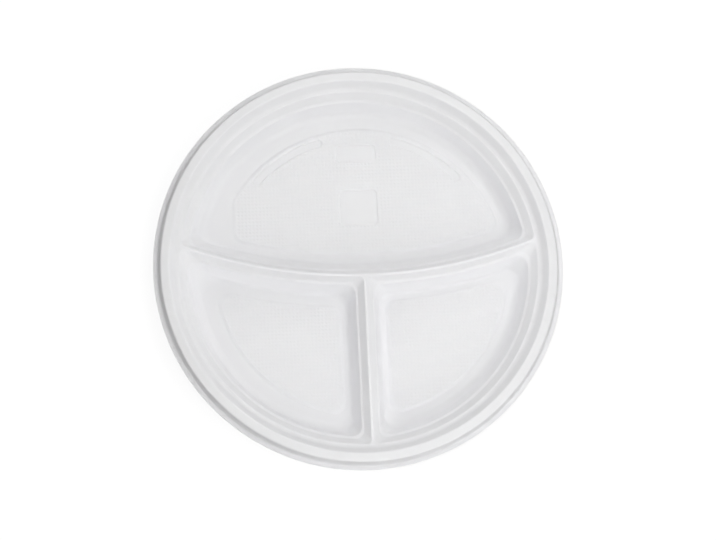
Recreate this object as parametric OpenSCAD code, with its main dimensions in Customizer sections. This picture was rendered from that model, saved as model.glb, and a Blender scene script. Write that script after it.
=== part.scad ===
// Divided compartment plate, formed in one piece from a thin sheet of white plastic.
// A curved divider parts the large compartment from two small ones, and a straight
// divider parts those. The rim has an upper ledge, a raised bead, and a skirt that
// turns down to a flat lip. The dividers are hollow below, as a formed sheet is.
// Millimetres. The origin is the centre of the underside, +Z is up, and the large
// compartment lies towards +Y.

/* [Rim] */
// Diameter over the lip
plate_d = 220; // [212:1:232]
// Height of the bead above the table
plate_h = 21.2; // [20.5:0.1:23]
// Height of the top of the lip above the table
lip_h = 15.5; // [12:0.5:16]
// Width of the flat lip outside the skirt
lip_w = 2.4; // [1.2:0.2:3]
// How far the skirt leans out between the bead and the lip
skirt_lean = 0.8; // [0:0.1:1]
// Width of the level top of the bead
bead_top_w = 2.6; // [1.5:0.1:3]
// Radius of the two shoulders of the bead
bead_r = 1.2; // [1:0.1:2]
// Slope of the wall between the bead and the upper ledge, in degrees from upright
bead_slope = 40; // [30:1:45]

/* [Ledges] */
// Height of the upper ledge and of the crests of the dividers
crest_h = 16.4; // [16:0.1:17.5]
// Width of the upper ledge
upper_ledge_w = 2.4; // [2:0.1:3.5]
// Height of the lower ledge, which runs round each compartment
lower_ledge_h = 12; // [11:0.1:13]
// Width of the lower ledge
lower_ledge_w = 1.6; // [1.2:0.1:2.2]

/* [Compartments] */
// Thickness of the sheet
sheet_t = 0.5; // [0.4:0.05:0.6]
// Inward run of the wall above the lower ledge, beside the rim
rim_upper_run = 3.2; // [2.5:0.1:4.5]
// Inward run of the wall above the lower ledge, beside a divider
divider_upper_run = 2.3; // [1.8:0.1:3]
// Slope of the wall below the lower ledge, beside the rim, in degrees from upright
rim_slope = 18; // [12:1:22]
// The same slope on the large compartment's side of the long divider
large_slope = 25; // [20:1:30]
// The same slope on the small compartments' side of a divider
small_slope = 17; // [14:1:22]
// Radius between the rim's wall and the floor
rim_floor_r = 4; // [3:0.25:5]
// Radius between the dividers and the floor
divider_floor_r = 2.5; // [2:0.25:4]
// Radius of the rounded edges along crests and ledges
edge_r = 0.6; // [0.4:0.1:0.8]

/* [Dividers] */
// Width of the level crest of a divider
crest_w = 1.2; // [0.8:0.1:2]
// Radius of the long divider's curve
long_r = 265; // [220:5:320]
// Distance from the plate's centre to the long divider's crest
long_offset = 5.4; // [0:0.2:10]
// Sideways offset of the dividers and pads from the plate's centre
pattern_x = 2.4; // [0:0.1:4]

/* [Floor pads] */
// Depth of the pads, which are pressed into the floor's upper face
pad_depth = 0.2; // [0.1:0.05:0.25]
// Distance from the oblong pad to the floor's edge
oblong_margin = 13.8; // [12:0.2:16]
// Length of the oblong pad
oblong_l = 22.6; // [18:0.2:26]
// Width of the oblong pad
oblong_w = 10.6; // [8:0.2:12]
// Distance between the oblong pad and the square pad
pad_gap = 14.8; // [12:0.2:16]
// Length of the square pad across the plate
square_l = 21.6; // [16:0.2:24]
// Width of the square pad
square_w = 20.6; // [18:0.2:22]
// Corner radius of the oblong pad and the square pad
pad_r = 3; // [2:0.25:4]
// Distance from a curved pad to the floor's edge
arc_pad_margin = 7.4; // [6:0.2:10]
// Width of the two curved pads
arc_pad_w = 5.2; // [3:0.2:6]
// Angle at which a curved pad starts, from the middle line
arc_pad_from = 16; // [14:1:20]
// Angle at which a curved pad ends
arc_pad_to = 47; // [30:1:48]

/* [Hidden] */

// Smoothness of turned surfaces, and steps along the small rounds of the profiles
$fn = 180;
SHOULDER_STEPS = 6;
EDGE_STEPS = 2;
FLOOR_STEPS = 4;
PAD_STEPS = 10;
PAD_END_STEPS = 6;

// Share of the sheet's thickness that the underside keeps beside a steep wall
WALL_SHARE = 0.7;
// Angle from level at which a rounded edge meets the level crest
EDGE_START = 70;
wall_out = sheet_t * WALL_SHARE;
overrun = 2 * sheet_t;
UPRIGHT = 90;
LEVEL = 180;

// Rim, from the lip inwards
lip_r = plate_d / 2;
skirt_foot_r = lip_r - lip_w;
bead_out_r = skirt_foot_r - skirt_lean;
shoulder_z = plate_h - bead_r;
shoulder_out_r = bead_out_r - bead_r;
shoulder_in_r = shoulder_out_r - bead_top_w;
bead_in_r = slope_foot_r(bead_r, crest_h);
well_r = bead_in_r - upper_ledge_w;

// Edge of the level floor beside the rim, and the pads that are placed from it
floor_edge_r = well_r - rim_upper_run - lower_ledge_w - blend_in(rim_slope, rim_floor_r, UPRIGHT);
oblong_y = floor_edge_r - oblong_margin - oblong_w / 2;
square_y = oblong_y - oblong_w / 2 - pad_gap - square_w / 2;
arc_pad_r = floor_edge_r - arc_pad_margin - arc_pad_w / 2;

// The crest of the long divider is an arc about this point
long_centre = [pattern_x, long_r - long_offset];
crest_half = crest_w / 2;

// Radius at height z of the wall inside the bead, for a shoulder of radius r
function slope_foot_r(r, z) =
    let (start_z = shoulder_z + r * sin(bead_slope))
    shoulder_in_r - r * cos(bead_slope) - (start_z - z) * tan(bead_slope);

function arc(centre, r, from, to, steps) =
    [for (i = [0:steps])
        let (a = from + (to - from) * i / steps)
        centre + r * [cos(a), sin(a)]];

// How far a blend of radius r into the floor has come in at angle a, on a wall of that slope
function blend_in(slope, r, a) =
    let (blend_top = sheet_t + r * (1 - sin(slope)))
    (lower_ledge_h - edge_r - blend_top) * tan(slope) + r * (cos(slope) - cos(a));

// A compartment's wall from the crest down to the floor, as [inset, height] points
function wall(upper_run, slope, r) = let (ledge_in = upper_run + lower_ledge_w) concat(
    [for (i = [0:EDGE_STEPS])
        let (a = EDGE_START * (1 - i / EDGE_STEPS))
        [-edge_r * (1 - cos(a)), crest_h - edge_r * (1 - sin(a))]],
    [
        [upper_run, lower_ledge_h + edge_r / 2],
        [ledge_in - edge_r, lower_ledge_h],
        [ledge_in, lower_ledge_h - edge_r]
    ],
    [for (i = [0:FLOOR_STEPS])
        let (a = slope + (UPRIGHT - slope) * i / FLOOR_STEPS)
        [ledge_in + blend_in(slope, r, a), sheet_t + r * (1 - sin(a))]]
);

// The wall's upper face, or its lower face when under is true
function face(points, under) =
    under ? [for (p = points) [p[0] - wall_out, p[1] - sheet_t]] : points;

// A point beyond q on the line from p, at height z
function beyond(p, q, z) = q + (q - p) * (z - q[1]) / (q[1] - p[1]);

// The same wall run on past the crest and the floor, so that it cuts both cleanly
function long_face(points, under) =
    let (f = face(points, under), n = len(f))
    concat(
        [[f[0][0], crest_h + overrun]],
        f,
        [beyond(f[n - 2], f[n - 1], -overrun)]
    );

function rim_wall() = wall(rim_upper_run, rim_slope, rim_floor_r);
function large_wall() = wall(divider_upper_run, large_slope, divider_floor_r);
function small_wall() = wall(divider_upper_run, small_slope, divider_floor_r);

// Everything inside the compartments' outer wall, between the floor and the crests
module inside_rim(under) {
    f = face(rim_wall(), under);
    top = under ? crest_h - sheet_t / 2 : crest_h + overrun;
    floor_z = under ? 0 : sheet_t;
    // Turned from +Y, away from the dividers' ends
    rotate([0, 0, 90])
        rotate_extrude()
            polygon(concat(
                [[0, top], [well_r - f[0][0], top]],
                [for (p = f) [well_r - p[0], p[1]]],
                [[0, floor_z]]
            ));
}

// Everything on the large compartment's side of the long divider
module above_long_divider(under) {
    f = long_face(large_wall(), under);
    last = f[len(f) - 1];
    translate(long_centre)
        rotate_extrude()
            polygon(concat(
                [[0, f[0][1]]],
                [for (p = f) [long_r - crest_half - p[0], p[1]]],
                [[0, last[1]]]
            ));
}

// Everything on the long divider and beyond it, which a small compartment leaves out
module long_divider_and_above(under) {
    f = long_face(small_wall(), under);
    last = f[len(f) - 1];
    translate(long_centre)
        rotate_extrude()
            polygon(concat(
                [[0, f[0][1]]],
                [for (p = f) [long_r + crest_half + p[0], p[1]]],
                [[0, last[1]]]
            ));
}

// Everything on one side of the short divider: right for side 1, left for side -1
module beside_short_divider(under, side) {
    f = long_face(small_wall(), under);
    last = f[len(f) - 1];
    translate([pattern_x, 0, 0])
        rotate([90, 0, 0])
            linear_extrude(plate_d, center = true)
                polygon(concat(
                    [[side * lip_r, f[0][1]]],
                    [for (p = f) [side * (crest_half + p[0]), p[1]]],
                    [[side * lip_r, last[1]]]
                ));
}

module large_space(under) {
    intersection() {
        inside_rim(under);
        above_long_divider(under);
    }
}

module small_space(under, side) {
    difference() {
        intersection() {
            inside_rim(under);
            beside_short_divider(under, side);
        }
        long_divider_and_above(under);
    }
}

module all_spaces(under) {
    large_space(under);
    small_space(under, 1);
    small_space(under, -1);
}

// The sheet turned about the centre: crests and upper ledge, bead, skirt and lip
module turned_sheet() {
    inner_r = bead_r - sheet_t;
    shoulder_in = [shoulder_in_r, shoulder_z];
    shoulder_out = [shoulder_out_r, shoulder_z];
    rotate_extrude()
        polygon(concat(
            [[0, crest_h], [bead_in_r, crest_h]],
            arc(shoulder_in, bead_r, LEVEL - bead_slope, UPRIGHT, SHOULDER_STEPS),
            arc(shoulder_out, bead_r, UPRIGHT, 0, SHOULDER_STEPS),
            [
                [skirt_foot_r, lip_h],
                [lip_r, lip_h],
                [lip_r, lip_h - sheet_t],
                [skirt_foot_r - sheet_t, lip_h - sheet_t]
            ],
            arc(shoulder_out, inner_r, 0, UPRIGHT, SHOULDER_STEPS),
            arc(shoulder_in, inner_r, UPRIGHT, LEVEL - bead_slope, SHOULDER_STEPS),
            [
                [slope_foot_r(inner_r, crest_h - sheet_t), crest_h - sheet_t],
                [0, crest_h - sheet_t]
            ]
        ));
}

module rounded_rectangle(l, w, r) {
    square([l - 2 * r, w], center = true);
    square([l, w - 2 * r], center = true);
    for (x = [-1, 1], y = [-1, 1])
        translate([x * (l / 2 - r), y * (w / 2 - r)])
            circle(r);
}

// The points of a pad's round end, from the edge at angle a round to the other edge
function pad_end(centre, a) =
    [for (i = [1:PAD_END_STEPS - 1])
        let (turn = a - LEVEL * i / PAD_END_STEPS)
        centre + arc_pad_w / 2 * [cos(turn), sin(turn)]];

// A curved pad beside the floor's edge, on the right of the middle line
module curved_pad() {
    start = UPRIGHT - arc_pad_from;
    end = UPRIGHT - arc_pad_to;
    polygon(concat(
        arc([0, 0], arc_pad_r + arc_pad_w / 2, start, end, PAD_STEPS),
        pad_end(arc_pad_r * [cos(end), sin(end)], end),
        arc([0, 0], arc_pad_r - arc_pad_w / 2, end, start, PAD_STEPS),
        pad_end(arc_pad_r * [cos(start), sin(start)], start + LEVEL)
    ));
}

// Shallow pads pressed into the floor of the large compartment, left plain
module pads() {
    translate([pattern_x, 0, sheet_t - pad_depth])
        linear_extrude(pad_depth + overrun) {
            translate([0, oblong_y])
                rounded_rectangle(oblong_l, oblong_w, pad_r);
            translate([0, square_y])
                rounded_rectangle(square_l, square_w, pad_r);
            curved_pad();
            mirror([1, 0])
                curved_pad();
        }
}

module plate() {
    color("white")
        difference() {
            union() {
                turned_sheet();
                all_spaces(true);
            }
            all_spaces(false);
            pads();
        }
}

plate();
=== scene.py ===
"""Divided compartment plate of thin formed plastic, on a pale table in soft studio light."""
import math
from functools import partial

import bpy
import numpy as np
from mathutils import Matrix, Vector
from mathutils.geometry import tessellate_polygon


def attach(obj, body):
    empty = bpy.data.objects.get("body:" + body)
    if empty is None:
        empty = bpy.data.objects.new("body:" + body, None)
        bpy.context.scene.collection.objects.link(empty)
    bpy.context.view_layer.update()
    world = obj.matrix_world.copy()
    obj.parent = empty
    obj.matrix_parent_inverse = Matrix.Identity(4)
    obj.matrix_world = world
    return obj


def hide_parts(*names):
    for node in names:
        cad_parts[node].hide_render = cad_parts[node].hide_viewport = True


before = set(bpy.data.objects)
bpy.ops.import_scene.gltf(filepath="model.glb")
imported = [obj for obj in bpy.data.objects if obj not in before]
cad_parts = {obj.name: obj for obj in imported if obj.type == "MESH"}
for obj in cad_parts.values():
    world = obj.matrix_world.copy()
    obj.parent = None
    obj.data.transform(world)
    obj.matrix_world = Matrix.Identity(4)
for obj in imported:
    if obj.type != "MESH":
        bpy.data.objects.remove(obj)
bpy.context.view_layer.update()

MM = 0.001

# The camera has the photograph's view: 13 degrees off the plate's axis, on the side of the small
# compartments. Distances are in millimetres.
VIEW_TILT = (0.0864, 0.2097)
VIEW_TURN = 0.03887
VIEW_DISTANCE = 1200.0
VIEW_SLIDE = (-0.85, -2.45)
VIEW_AIM = (0.0, 0.0, 15.5)
LENS = 112.8
SENSOR_WIDTH = 36.0
CLIP_START = 10.0
CLIP_END = 20000.0

# The sheet and its rim, in millimetres, from the lip inwards
SHEET = 0.5
LIP_R = 110.0
LIP_H = 15.5
LIP_W = 2.4
SKIRT_LEAN = 1.1
SKIRT_FOOT_R = LIP_R - LIP_W
SKIRT_FOOT_ROUND = 1.1
BEAD_H = 21.2
BEAD_FALL = 0.3
BEAD_R = 1.2
BEAD_IN_R = 101.5
BEAD_SLOPE = math.radians(36)
BEAD_FOOT_ROUND = 3.5
UPPER_LEDGE_RISE = 0.55
UPPER_LEDGE_FLAT = 0.7
WELL_R = 96.3

# The compartments' walls: an upper run from the crest, the lower ledge, and a slope to the floor
CREST_H = 16.4
CREST_HALF = 0.6
LOWER_LEDGE_H = 12.0
LOWER_LEDGE_W = 1.4
LOWER_LEDGE_RISE = 0.35
LEDGE_R = 1.3
RIM_UPPER_RUN = 3.3
LONG_UPPER_RUN = 2.3
SHORT_UPPER_RUN = 3.1
RIM_SLOPE = math.radians(18)
LARGE_SLOPE = math.radians(25)
SMALL_SLOPE = math.radians(17)
RIM_EDGE_R = 1.2
DIVIDER_EDGE_R = 0.6
RIM_FLOOR_R = 5.0
DIVIDER_FLOOR_R = 2.5
FLOOR_STUB = 9.0

# The long divider's arc; the whole pattern of dividers stands to the right of the lip's centre
LONG_R = 265.0
LONG_OFFSET = 5.4
PATTERN_X = 2.4
CENTRE = np.array([0.0, 0.0])
LONG_CENTRE = np.array([PATTERN_X, LONG_R - LONG_OFFSET])

# Rounds between the walls of a compartment, at its crest, lower ledge and floor
CORNER_CREST = 2.5
CORNER_LEDGE = 5.0
CORNER_FLOOR = 8.5

# The floors' slightly raised middles, which carry the waffle, and how far they stay from the
# crests of the dividers
RAISED_H = 0.7
RAISED_RUN = 1.8
RAISED_R = 80.0
RAISED_CENTRE = np.array([PATTERN_X, 0.0])
RAISED_FROM_LONG = 13.4
RAISED_FROM_LONG_RIGHT = 10.6
RAISED_FROM_LONG_LEFT = 13.0
RAISED_FROM_SHORT = 11.0
RAISED_LEFT_END = -66.5
RAISED_CORNER = 6.0

# The bare pads pressed into the large floor; the straight ones are (length, width, middle's y)
PAD_DEPTH = 0.7
PAD_RUN = 0.9
OBLONG = (22.6, 10.6, 65.6)
SQUARE = (21.6, 20.6, 35.3)
PAD_CORNER = 3.0
ARC_PAD_R = 74.8
ARC_PAD_HALF = 2.6
ARC_PAD_FROM = 16.0
ARC_PAD_TO = 47.0

# A soft step between two levels, as (share of its run, share of its rise)
STEP_SHAPE = [(0.0, 0.0), (0.3, 0.12), (0.7, 0.88), (1.0, 1.0)]

# How many pieces the lines are cut into
RING_STEPS = 320
LIP_EDGE_STEPS = 5
CORNER_STEPS = 10
LARGE_RIM_STEPS = 130
LARGE_LONG_STEPS = 84
SMALL_RIM_STEPS = 70
SMALL_LONG_STEPS = 44
SMALL_SHORT_STEPS = 40
RAISED_RIM_STEPS = 110
RAISED_LONG_STEPS = 76
RAISED_END_STEPS = 12
RAISED_TOP_CORNER_STEPS = 6
RAISED_CORNER_STEPS = 8
PAD_CORNER_STEPS = 8
ARC_PAD_STEPS = 30
ARC_PAD_END_STEPS = 10

# The mesh's two material slots
PLAIN, WAFFLE = 0, 1

# The plastic: satin white with a faint blue that varies a little, and some light inside it
SATIN = {
    "Roughness": 0.45,
    "IOR": 1.5,
    "Subsurface Weight": 1.0,
    "Subsurface Radius": (1.0, 1.0, 1.0),
    "Subsurface Scale": MM,
}
FLOW = {"Scale": 45.0, "Detail": 2.0}
TINT = {"A": (0.887, 0.885, 0.913, 1), "B": (0.917, 0.915, 0.943, 1)}
FLOW_BUMP = {"Strength": 0.5, "Distance": 0.2 * MM}
WAFFLE_PITCH = 1.95 * MM
WAFFLE_BLEND = 0.3
WAFFLE_BUMP = {"Strength": 1.0, "Distance": 0.08 * MM}

# The table, in metres, just under the plate
TABLE_HALF = 3.0
TABLE_Z = -0.0001
TABLE_ALBEDO = 0.12
TABLE_ROUGHNESS = 0.8
TABLE_GLOW = 0.9
WHITE = (1, 1, 1, 1)

# Soft lamps on a dome: elevation and direction in degrees, distance in metres, and watts. They
# stand nearer on the right, which is the bright side.
FAR, NEAR = 1.5, 0.8
LAMP_SPREAD = 0.6
LAMPS = {
    "key_low_right": (60, 300, NEAR, 2.06),
    "key_top_right": (60, 60, NEAR, 1.38),
    "fill_top_left": (60, 120, FAR, 1.18),
    "side_top": (32, 90, NEAR, 1.26),
    "side_top_right": (32, 45, NEAR, 0.64),
    "side_low_right": (32, 315, NEAR, 1.23),
    "side_low": (32, 270, NEAR, 1.33),
    "side_low_left": (32, 225, FAR, 0.69),
    "side_left": (32, 180, FAR, 4.43),
}


def link_object(name, data):
    item = bpy.data.objects.new(name, data)
    bpy.context.scene.collection.objects.link(item)
    return item


def view_axes():
    """The plate's frame seen from the camera: rows are right, up and towards the camera."""
    tilt_x, tilt_y = VIEW_TILT
    normal = Vector((tilt_x, tilt_y, math.sqrt(1 - tilt_x ** 2 - tilt_y ** 2)))
    lean = Vector((0, 0, 1)).rotation_difference(normal).to_matrix()
    return lean @ Matrix.Rotation(VIEW_TURN, 3, "Z")


def add_camera():
    axes = view_axes()
    data = bpy.data.cameras.new("camera")
    data.sensor_width = SENSOR_WIDTH
    data.lens = LENS
    data.clip_start = CLIP_START * MM
    data.clip_end = CLIP_END * MM
    camera = link_object("camera", data)
    back = axes.transposed() @ Vector((*VIEW_SLIDE, VIEW_DISTANCE))
    camera.location = (Vector(VIEW_AIM) + back) * MM
    camera.rotation_mode = "QUATERNION"
    camera.rotation_quaternion = axes.transposed().to_quaternion()
    bpy.context.scene.camera = camera


def round_corner(a, b, c, radius, steps):
    """The points of an arc of that radius which replaces corner b of the line a, b, c."""
    a, b, c = (np.array(p, float) for p in (a, b, c))
    u = (a - b) / np.linalg.norm(a - b)
    v = (c - b) / np.linalg.norm(c - b)
    half = math.acos(float(np.clip(u @ v, -1, 1))) / 2
    middle = (u + v) / np.linalg.norm(u + v)
    centre = b + middle * radius / math.sin(half)
    start = b + u * radius / math.tan(half) - centre
    end = b + v * radius / math.tan(half) - centre
    turn = math.atan2(start[0] * end[1] - start[1] * end[0], start @ end)
    arc = []
    for i in range(steps + 1):
        t = turn * i / steps
        x = start[0] * math.cos(t) - start[1] * math.sin(t)
        y = start[0] * math.sin(t) + start[1] * math.cos(t)
        arc.append(centre + np.array([x, y]))
    return arc


def rounded_polyline(corners):
    """corners is a list of (x, z, radius, steps); the result has every inner corner rounded."""
    points = [(c[0], c[1]) for c in corners]
    out = [np.array(points[0], float)]
    for i in range(1, len(corners) - 1):
        out.extend(round_corner(*points[i - 1 : i + 2], corners[i][2], corners[i][3]))
    out.append(np.array(points[-1], float))
    return out


def rim_profile():
    """The upper face from the lip's edge inwards to the upper ledge, as (radius, height)."""
    top_out = BEAD_H - BEAD_FALL
    out_r = SKIRT_FOOT_R - SKIRT_LEAN * (top_out - LIP_H) / (BEAD_H - BEAD_R - LIP_H)
    foot_r = BEAD_IN_R - (BEAD_H - CREST_H - UPPER_LEDGE_RISE) * math.tan(BEAD_SLOPE)
    return rounded_polyline(
        [
            (LIP_R - SHEET / 2, LIP_H, 0, 0),
            (SKIRT_FOOT_R, LIP_H, SKIRT_FOOT_ROUND, 4),
            (out_r, top_out, BEAD_R, 8),
            (BEAD_IN_R, BEAD_H, BEAD_R, 7),
            (foot_r, CREST_H + UPPER_LEDGE_RISE, BEAD_FOOT_ROUND, 8),
            (WELL_R + UPPER_LEDGE_FLAT, CREST_H, 0, 0),
        ]
    )


def wall(edge_r, upper_run, slope, floor_r):
    """A compartment's wall from the crest to the floor, as (inset, height)."""
    ledge_in = upper_run + LOWER_LEDGE_W
    foot = ledge_in + (LOWER_LEDGE_H - LOWER_LEDGE_RISE - SHEET) * math.tan(slope)
    points = rounded_polyline(
        [
            (-DIVIDER_EDGE_R, CREST_H, 0, 0),
            (0.0, CREST_H, edge_r, 6),
            (upper_run, LOWER_LEDGE_H + LOWER_LEDGE_RISE, LEDGE_R, 5),
            (ledge_in, LOWER_LEDGE_H - LOWER_LEDGE_RISE, LEDGE_R, 6),
            (foot, SHEET, floor_r, 10),
            (foot + FLOOR_STUB, SHEET, 0, 0),
        ]
    )
    # The stub of floor only gives the last round its direction
    return points[:-1]


def arc_points(centre, radius, start, end, count):
    angles = np.linspace(start, end, count + 1)
    return [centre + radius * np.array([math.cos(a), math.sin(a)]) for a in angles]


def line_points(start, end, count):
    return [start + (end - start) * i / count for i in range(count + 1)]


def angle(v):
    return math.atan2(v[1], v[0])


def circle_meet(c0, r0, c1, r1, side):
    """Where two circles meet, to the right (1) or the left (-1) of the line from c0 to c1."""
    gap = c1 - c0
    d = np.linalg.norm(gap)
    along = (r0 ** 2 - r1 ** 2 + d ** 2) / (2 * d)
    across = math.sqrt(max(r0 ** 2 - along ** 2, 0.0))
    unit = gap / d
    return c0 + unit * along + side * across * np.array([unit[1], -unit[0]])


def chain(*parts):
    """Joins runs of (points, first share, last share) into one closed outline.

    The share says how far a point belongs to the rim's wall (1) or to a divider (0)."""
    out = []
    for points, first, last in parts:
        n = len(points) - 1
        for i, p in enumerate(points[:-1]):
            out.append((p[0], p[1], first + (last - first) * i / n))
    return np.array(out)


def large_outline(rim_r, from_long, corner):
    """The large compartment, counterclockwise from its right-hand corner."""
    q = LONG_R - CREST_HALF - from_long
    right, left = (
        circle_meet(CENTRE, rim_r - corner, LONG_CENTRE, q - corner, s) for s in (1, -1)
    )
    a_right, a_left = angle(right - CENTRE), angle(left - CENTRE)
    b_right, b_left = angle(right - LONG_CENTRE), angle(left - LONG_CENTRE)
    return chain(
        (arc_points(CENTRE, rim_r, a_right, a_left, LARGE_RIM_STEPS), 1, 1),
        (arc_points(left, corner, a_left, b_left + 2 * math.pi, CORNER_STEPS), 1, 0),
        (arc_points(LONG_CENTRE, q, b_left, b_right, LARGE_LONG_STEPS), 0, 0),
        (arc_points(right, corner, b_right, a_right, CORNER_STEPS), 0, 1),
    )


def small_outline(side, rim_r, from_long, from_short, corner, rim_centre=CENTRE):
    """A small compartment, to the right (1) or left (-1) of the short divider."""
    centre = np.array([side * (rim_centre[0] - PATTERN_X), rim_centre[1]])
    long_centre = np.array([0.0, LONG_CENTRE[1]])
    q = LONG_R + CREST_HALF + from_long
    x = CREST_HALF + from_short + corner
    low = np.array([x, centre[1] - math.sqrt((rim_r - corner) ** 2 - (x - centre[0]) ** 2)])
    high = np.array([x, long_centre[1] - math.sqrt((q + corner) ** 2 - x ** 2)])
    far = circle_meet(centre, rim_r - corner, long_centre, q + corner, 1)
    a_low, a_far = angle(low - centre), angle(far - centre)
    b_far, b_high = angle(far - long_centre), angle(high - long_centre)
    start = high - np.array([corner, 0.0])
    end = low - np.array([corner, 0.0])
    out = chain(
        (arc_points(centre, rim_r, a_low, a_far, SMALL_RIM_STEPS), 1, 1),
        (arc_points(far, corner, a_far, b_far + math.pi, CORNER_STEPS), 1, 0),
        (arc_points(long_centre, q, b_far, b_high, SMALL_LONG_STEPS), 0, 0),
        (arc_points(high, corner, b_high + math.pi, math.pi, CORNER_STEPS), 0, 0),
        (line_points(start, end, SMALL_SHORT_STEPS), 0, 0),
        (arc_points(low, corner, math.pi, a_low + 2 * math.pi, CORNER_STEPS), 0, 1),
    )
    out[:, 0] = PATTERN_X + side * out[:, 0]
    return out if side > 0 else out[::-1]


def large_raised(run):
    """The raised middle of the large floor, which ends straight on the left."""
    r = RAISED_CORNER
    rim_r = RAISED_R - run
    q = LONG_R - CREST_HALF - RAISED_FROM_LONG - run
    x = RAISED_LEFT_END + run + r
    right = circle_meet(RAISED_CENTRE, rim_r - r, LONG_CENTRE, q - r, 1)
    top = np.array([x, math.sqrt((rim_r - r) ** 2 - (x - RAISED_CENTRE[0]) ** 2)])
    low = np.array([x, LONG_CENTRE[1] - math.sqrt((q - r) ** 2 - (x - LONG_CENTRE[0]) ** 2)])
    a_right, a_top = angle(right - RAISED_CENTRE), angle(top - RAISED_CENTRE)
    b_low, b_right = angle(low - LONG_CENTRE), angle(right - LONG_CENTRE)
    start = top - np.array([r, 0.0])
    end = low - np.array([r, 0.0])
    return chain(
        (arc_points(RAISED_CENTRE, rim_r, a_right, a_top, RAISED_RIM_STEPS), 1, 1),
        (arc_points(top, r, a_top, math.pi, RAISED_TOP_CORNER_STEPS), 1, 1),
        (line_points(start, end, RAISED_END_STEPS), 1, 1),
        (arc_points(low, r, math.pi, b_low + 2 * math.pi, RAISED_CORNER_STEPS), 1, 1),
        (arc_points(LONG_CENTRE, q, b_low, b_right, RAISED_LONG_STEPS), 1, 1),
        (arc_points(right, r, b_right, a_right, RAISED_CORNER_STEPS), 1, 1),
    )


def small_raised(side, run):
    """The raised middle of a small floor."""
    from_long = RAISED_FROM_LONG_RIGHT if side > 0 else RAISED_FROM_LONG_LEFT
    return small_outline(
        side,
        RAISED_R - run,
        from_long + run,
        RAISED_FROM_SHORT + run,
        RAISED_CORNER,
        RAISED_CENTRE,
    )


def level_outline(points):
    return np.array([(p[0], p[1], 0) for p in points])


def rectangle_pad(size, run):
    """A pad with rounded corners."""
    length, width, y = size
    r = PAD_CORNER - run
    x, h = length / 2 - PAD_CORNER, width / 2 - PAD_CORNER
    corners = [(x, h, 0), (-x, h, 90), (-x, -h, 180), (x, -h, 270)]
    out = []
    for cx, cy, turn in corners:
        centre = np.array([PATTERN_X + cx, y + cy])
        start = math.radians(turn)
        out += arc_points(centre, r, start, start + math.pi / 2, PAD_CORNER_STEPS)
    return level_outline(out)


def curved_pad(side, run):
    """A pad along the rim's wall, to the right (1) or left (-1) of the middle."""
    half = ARC_PAD_HALF - run
    first = math.radians(90 - side * ARC_PAD_FROM)
    last = math.radians(90 - side * ARC_PAD_TO)
    out = arc_points(RAISED_CENTRE, ARC_PAD_R + half, first, last, ARC_PAD_STEPS)
    end = RAISED_CENTRE + ARC_PAD_R * np.array([math.cos(last), math.sin(last)])
    out += arc_points(end, half, last, last - side * math.pi, ARC_PAD_END_STEPS)[1:-1]
    out += arc_points(RAISED_CENTRE, ARC_PAD_R - half, last, first, ARC_PAD_STEPS)
    end = RAISED_CENTRE + ARC_PAD_R * np.array([math.cos(first), math.sin(first)])
    out += arc_points(end, half, first + side * math.pi, first, ARC_PAD_END_STEPS)[1:-1]
    out = level_outline(out)
    return out[::-1] if side > 0 else out


class Sheet:
    """Collects the vertices and faces of the sheet's upper face."""

    def __init__(self):
        self.points = np.empty((0, 3))
        self.quads = []
        self.tris = []
        self.kinds = []

    def loop(self, outline, rim_height, divider_height=None):
        """Adds a loop of vertices; its height may differ at the rim and at the dividers."""
        if divider_height is None:
            divider_height = rim_height
        first = len(self.points)
        loop = np.array(outline, float)
        loop[:, 2] = divider_height + (rim_height - divider_height) * loop[:, 2]
        self.points = np.vstack([self.points, loop])
        return np.arange(first, first + len(loop))

    def join(self, loops):
        """Quads between counterclockwise loops of the same length, the outermost one first."""
        for outer, inner in zip(loops, loops[1:]):
            self.quads.append(np.stack([outer, np.roll(outer, -1), np.roll(inner, -1), inner], 1))

    def fill(self, loops, kind=PLAIN):
        """A level face inside the first loop and outside the others."""
        ring = np.concatenate(loops)
        flat = [[Vector((x, y, 0)) for x, y in self.points[loop, :2]] for loop in loops]
        tris = ring[np.array(tessellate_polygon(flat))]
        a, b, c = (self.points[tris[:, k], :2] for k in range(3))
        turn = (b - a)[:, 0] * (c - a)[:, 1] - (b - a)[:, 1] * (c - a)[:, 0]
        tris[turn < 0] = tris[turn < 0][:, ::-1]
        self.tris.append(tris)
        self.kinds += [kind] * len(tris)

    def step(self, outline, start, rise, run):
        """A soft step up or down, inside an outline; returns its first and last loops."""
        loops = [self.loop(outline(run * a), start + rise * b) for a, b in STEP_SHAPE]
        self.join(loops)
        return loops[0], loops[-1]


def circle(radius):
    turns = [2 * math.pi * i / RING_STEPS for i in range(RING_STEPS)]
    return np.array([(radius * math.cos(a), radius * math.sin(a), 0) for a in turns])


def corner_radius(height):
    """The round between a compartment's walls, which widens from the crest to the floor."""
    if height > LOWER_LEDGE_H:
        share = (CREST_H - height) / (CREST_H - LOWER_LEDGE_H)
        return CORNER_CREST + (CORNER_LEDGE - CORNER_CREST) * share
    share = (LOWER_LEDGE_H - height) / (LOWER_LEDGE_H - SHEET)
    return CORNER_LEDGE + (CORNER_FLOOR - CORNER_LEDGE) * share


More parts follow.
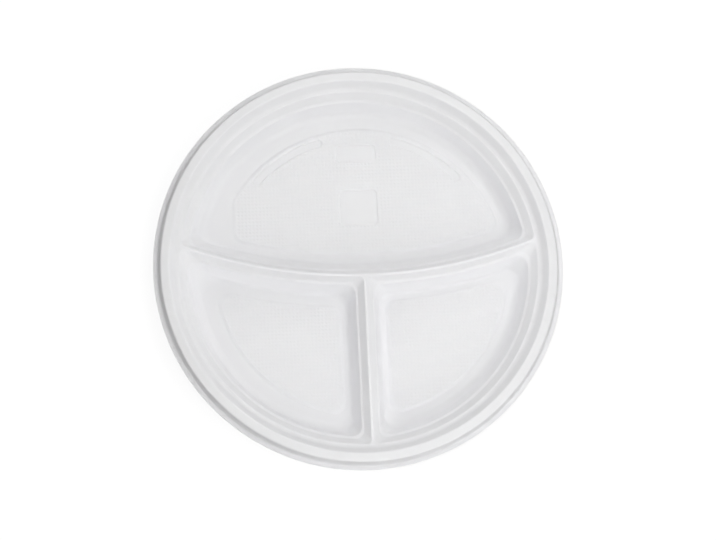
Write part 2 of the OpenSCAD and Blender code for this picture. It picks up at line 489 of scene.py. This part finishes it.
def build_top():
    """The upper face; returned with the loop of the lip's edge."""
    sheet = Sheet()
    rings = [sheet.loop(circle(r), z) for r, z in rim_profile()]
    sheet.join(rings)
    rim_wall = wall(RIM_EDGE_R, RIM_UPPER_RUN, RIM_SLOPE, RIM_FLOOR_R)
    large_wall = wall(DIVIDER_EDGE_R, LONG_UPPER_RUN, LARGE_SLOPE, DIVIDER_FLOOR_R)
    small_wall = wall(DIVIDER_EDGE_R, LONG_UPPER_RUN, SMALL_SLOPE, DIVIDER_FLOOR_R)
    short_wall = wall(DIVIDER_EDGE_R, SHORT_UPPER_RUN, SMALL_SLOPE, DIVIDER_FLOOR_R)
    large_pads = [
        partial(rectangle_pad, OBLONG),
        partial(rectangle_pad, SQUARE),
        partial(curved_pad, 1),
        partial(curved_pad, -1),
    ]
    # Each compartment's outline, its dividers' walls, its raised middle and the pads in that
    compartments = [(large_outline, [large_wall], large_raised, large_pads)]
    for side in (1, -1):
        outline = partial(small_outline, side)
        compartments.append((outline, [small_wall, short_wall], partial(small_raised, side), []))
    crests = []
    for outline, divider_walls, raised, pads in compartments:
        loops = []
        for (rim_in, rim_z), *dividers in zip(rim_wall, *divider_walls):
            # The short divider takes the long one's heights, so that a loop has two at most
            z = dividers[0][1]
            insets = [inset for inset, _ in dividers]
            shape = outline(WELL_R - rim_in, *insets, corner_radius((rim_z + z) / 2))
            loops.append(sheet.loop(shape, rim_z, z))
        sheet.join(loops)
        crests.append(loops[0])
        foot, top = sheet.step(raised, SHEET, RAISED_H, RAISED_RUN)
        sheet.fill([loops[-1], foot])
        edges = []
        for pad in pads:
            edge, bottom = sheet.step(pad, SHEET + RAISED_H, -PAD_DEPTH, PAD_RUN)
            edges.append(edge)
            sheet.fill([bottom])
        sheet.fill([top] + edges, WAFFLE)
    sheet.fill([rings[-1]] + crests)
    return sheet, rings[0]


def vertex_normals(points, quads, tris):
    """Normals weighted by area."""
    normals = np.zeros_like(points)
    for faces in (tris, quads[:, :3], quads[:, [0, 2, 3]]):
        p = points[faces]
        across = np.cross(p[:, 1] - p[:, 0], p[:, 2] - p[:, 0])
        for k in range(3):
            np.add.at(normals, faces[:, k], across)
    return normals / np.linalg.norm(normals, axis=1)[:, None]


def build_plate():
    """The whole sheet: the upper face, the underside and the lip's edge, as one closed mesh."""
    sheet, edge = build_top()
    top = sheet.points
    count = len(top)
    quads = np.concatenate(sheet.quads)
    tris = np.concatenate(sheet.tris)
    under = top - SHEET * vertex_normals(top, quads, tris)
    under[:, 2] = np.maximum(under[:, 2], 0.0)
    layers = [top, under]
    # The lip's rounded edge joins the upper face and the underside
    half = SHEET / 2
    rings = [edge]
    for k in range(1, LIP_EDGE_STEPS):
        a = math.pi / 2 - math.pi * k / LIP_EDGE_STEPS
        layer = circle(LIP_R - half + half * math.cos(a))
        layer[:, 2] = LIP_H - half + half * math.sin(a)
        rings.append(np.arange(RING_STEPS) + sum(len(layer) for layer in layers))
        layers.append(layer)
    rings.append(edge + count)
    lip = [
        np.stack([low, np.roll(low, -1), np.roll(high, -1), high], 1)
        for high, low in zip(rings, rings[1:])
    ]
    points = np.vstack(layers)
    quads = np.concatenate([quads, quads[:, ::-1] + count] + lip)
    upper_tris = len(tris)
    tris = np.concatenate([tris, tris[:, ::-1] + count])
    normals = vertex_normals(points, quads, tris)
    mesh = bpy.data.meshes.new("plate_sheet")
    mesh.from_pydata((points * MM).tolist(), [], quads.tolist() + tris.tolist())
    kinds = [PLAIN] * len(quads) + sheet.kinds + [PLAIN] * upper_tris
    mesh.polygons.foreach_set("material_index", kinds)
    mesh.polygons.foreach_set("use_smooth", [True] * len(kinds))
    # The level faces are shaded level, right up to the rounds that they meet
    level = np.zeros((len(tris), 3, 3))
    level[:upper_tris, :, 2] = 1.0
    level[upper_tris:, :, 2] = -1.0
    corners = np.concatenate([normals[quads].reshape(-1, 3), level.reshape(-1, 3)])
    mesh.normals_split_custom_set(corners.tolist())
    mesh.update()
    return link_object("plate_sheet", mesh)


def new_node(tree, kind, links=(), **values):
    """A node with its properties set and its inputs linked."""
    node = tree.nodes.new(kind)
    for name, value in values.items():
        setattr(node, name, value)
    for socket, source in links:
        tree.links.new(source, node.inputs[socket])
    return node


def math_node(tree, operation, *sources):
    links = list(enumerate(sources))
    return new_node(tree, "ShaderNodeMath", links, operation=operation)


def set_inputs(node, values):
    for name, value in values.items():
        node.inputs[name].default_value = value


def plastic(name, waffle):
    """Satin white sheet: soft flow marks, and a fine waffle on the raised floors."""
    material = bpy.data.materials.new(name)
    material.use_nodes = True
    tree = material.node_tree
    shader = tree.nodes["Principled BSDF"]
    set_inputs(shader, SATIN)
    place = tree.nodes.new("ShaderNodeTexCoord").outputs["Object"]
    flow = new_node(tree, "ShaderNodeTexNoise", [("Vector", place)])
    set_inputs(flow, FLOW)
    tint = new_node(tree, "ShaderNodeMix", [("Factor", flow.outputs["Fac"])], data_type="RGBA")
    set_inputs(tint, TINT)
    tree.links.new(tint.outputs["Result"], shader.inputs["Base Color"])
    bump = new_node(tree, "ShaderNodeBump", [("Height", flow.outputs["Fac"])])
    set_inputs(bump, FLOW_BUMP)
    if waffle:
        split = new_node(tree, "ShaderNodeSeparateXYZ", [("Vector", place)])
        waves = []
        for axis in ("X", "Y"):
            turn = math_node(tree, "MULTIPLY", split.outputs[axis])
            turn.inputs[1].default_value = 2 * math.pi / WAFFLE_PITCH
            waves.append(math_node(tree, "COSINE", turn.outputs[0]).outputs[0])
        ribs = math_node(tree, "SMOOTH_MAX", *waves)
        ribs.inputs[2].default_value = WAFFLE_BLEND
        links = [("Height", ribs.outputs[0]), ("Normal", bump.outputs["Normal"])]
        bump = new_node(tree, "ShaderNodeBump", links)
        set_inputs(bump, WAFFLE_BUMP)
    tree.links.new(bump.outputs["Normal"], shader.inputs["Normal"])
    return material


def looked_at(tree):
    """1 for rays that show the background: from the camera, off gloss or through clear parts."""
    path = tree.nodes.new("ShaderNodeLightPath")
    seen = path.outputs["Is Camera Ray"]
    for kind in ("Is Glossy Ray", "Is Transmission Ray"):
        seen = math_node(tree, "MAXIMUM", seen, path.outputs[kind]).outputs[0]
    return seen


def add_floor():
    """A table that keeps the plate's shadow, and glows only where it is looked at."""
    half, z = TABLE_HALF, TABLE_Z
    mesh = bpy.data.meshes.new("table")
    corners = [(-half, -half, z), (half, -half, z), (half, half, z), (-half, half, z)]
    mesh.from_pydata(corners, [], [(0, 1, 2, 3)])
    floor = link_object("table", mesh)
    material = bpy.data.materials.new("table_white")
    material.use_nodes = True
    tree = material.node_tree
    shader = tree.nodes["Principled BSDF"]
    shader.inputs["Base Color"].default_value = (TABLE_ALBEDO, TABLE_ALBEDO, TABLE_ALBEDO, 1)
    shader.inputs["Roughness"].default_value = TABLE_ROUGHNESS
    shader.inputs["Emission Color"].default_value = WHITE
    glow = math_node(tree, "MULTIPLY", looked_at(tree))
    glow.inputs[1].default_value = TABLE_GLOW
    tree.links.new(glow.outputs[0], shader.inputs["Emission Strength"])
    floor.data.materials.append(material)


def add_world():
    """White wherever it is looked at; the plate takes its light from the lamps alone."""
    world = bpy.data.worlds.new("studio")
    bpy.context.scene.world = world
    world.use_nodes = True
    back = world.node_tree.nodes["Background"]
    back.inputs["Color"].default_value = WHITE
    world.node_tree.links.new(looked_at(world.node_tree), back.inputs["Strength"])


def add_lamp(name, elevation, direction, away, watts):
    up, turn = math.radians(elevation), math.radians(direction)
    level = math.cos(up)
    place = Vector((level * math.cos(turn), level * math.sin(turn), math.sin(up))) * away
    data = bpy.data.lights.new(name, "AREA")
    data.shape = "DISK"
    data.size = away * LAMP_SPREAD
    data.energy = watts
    lamp = link_object(name, data)
    lamp.location = place
    lamp.rotation_mode = "QUATERNION"
    lamp.rotation_quaternion = (-place).to_track_quat("-Z", "Y")


add_camera()

plate = build_plate()
plate.data.materials.append(plastic("white_plastic_plain", False))
plate.data.materials.append(plastic("white_plastic_waffle", True))
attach(plate, "root")
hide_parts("plate")

add_floor()
add_world()
for name, spec in LAMPS.items():
    add_lamp(name, *spec)

scene = bpy.context.scene
scene.view_settings.view_transform = "Standard"
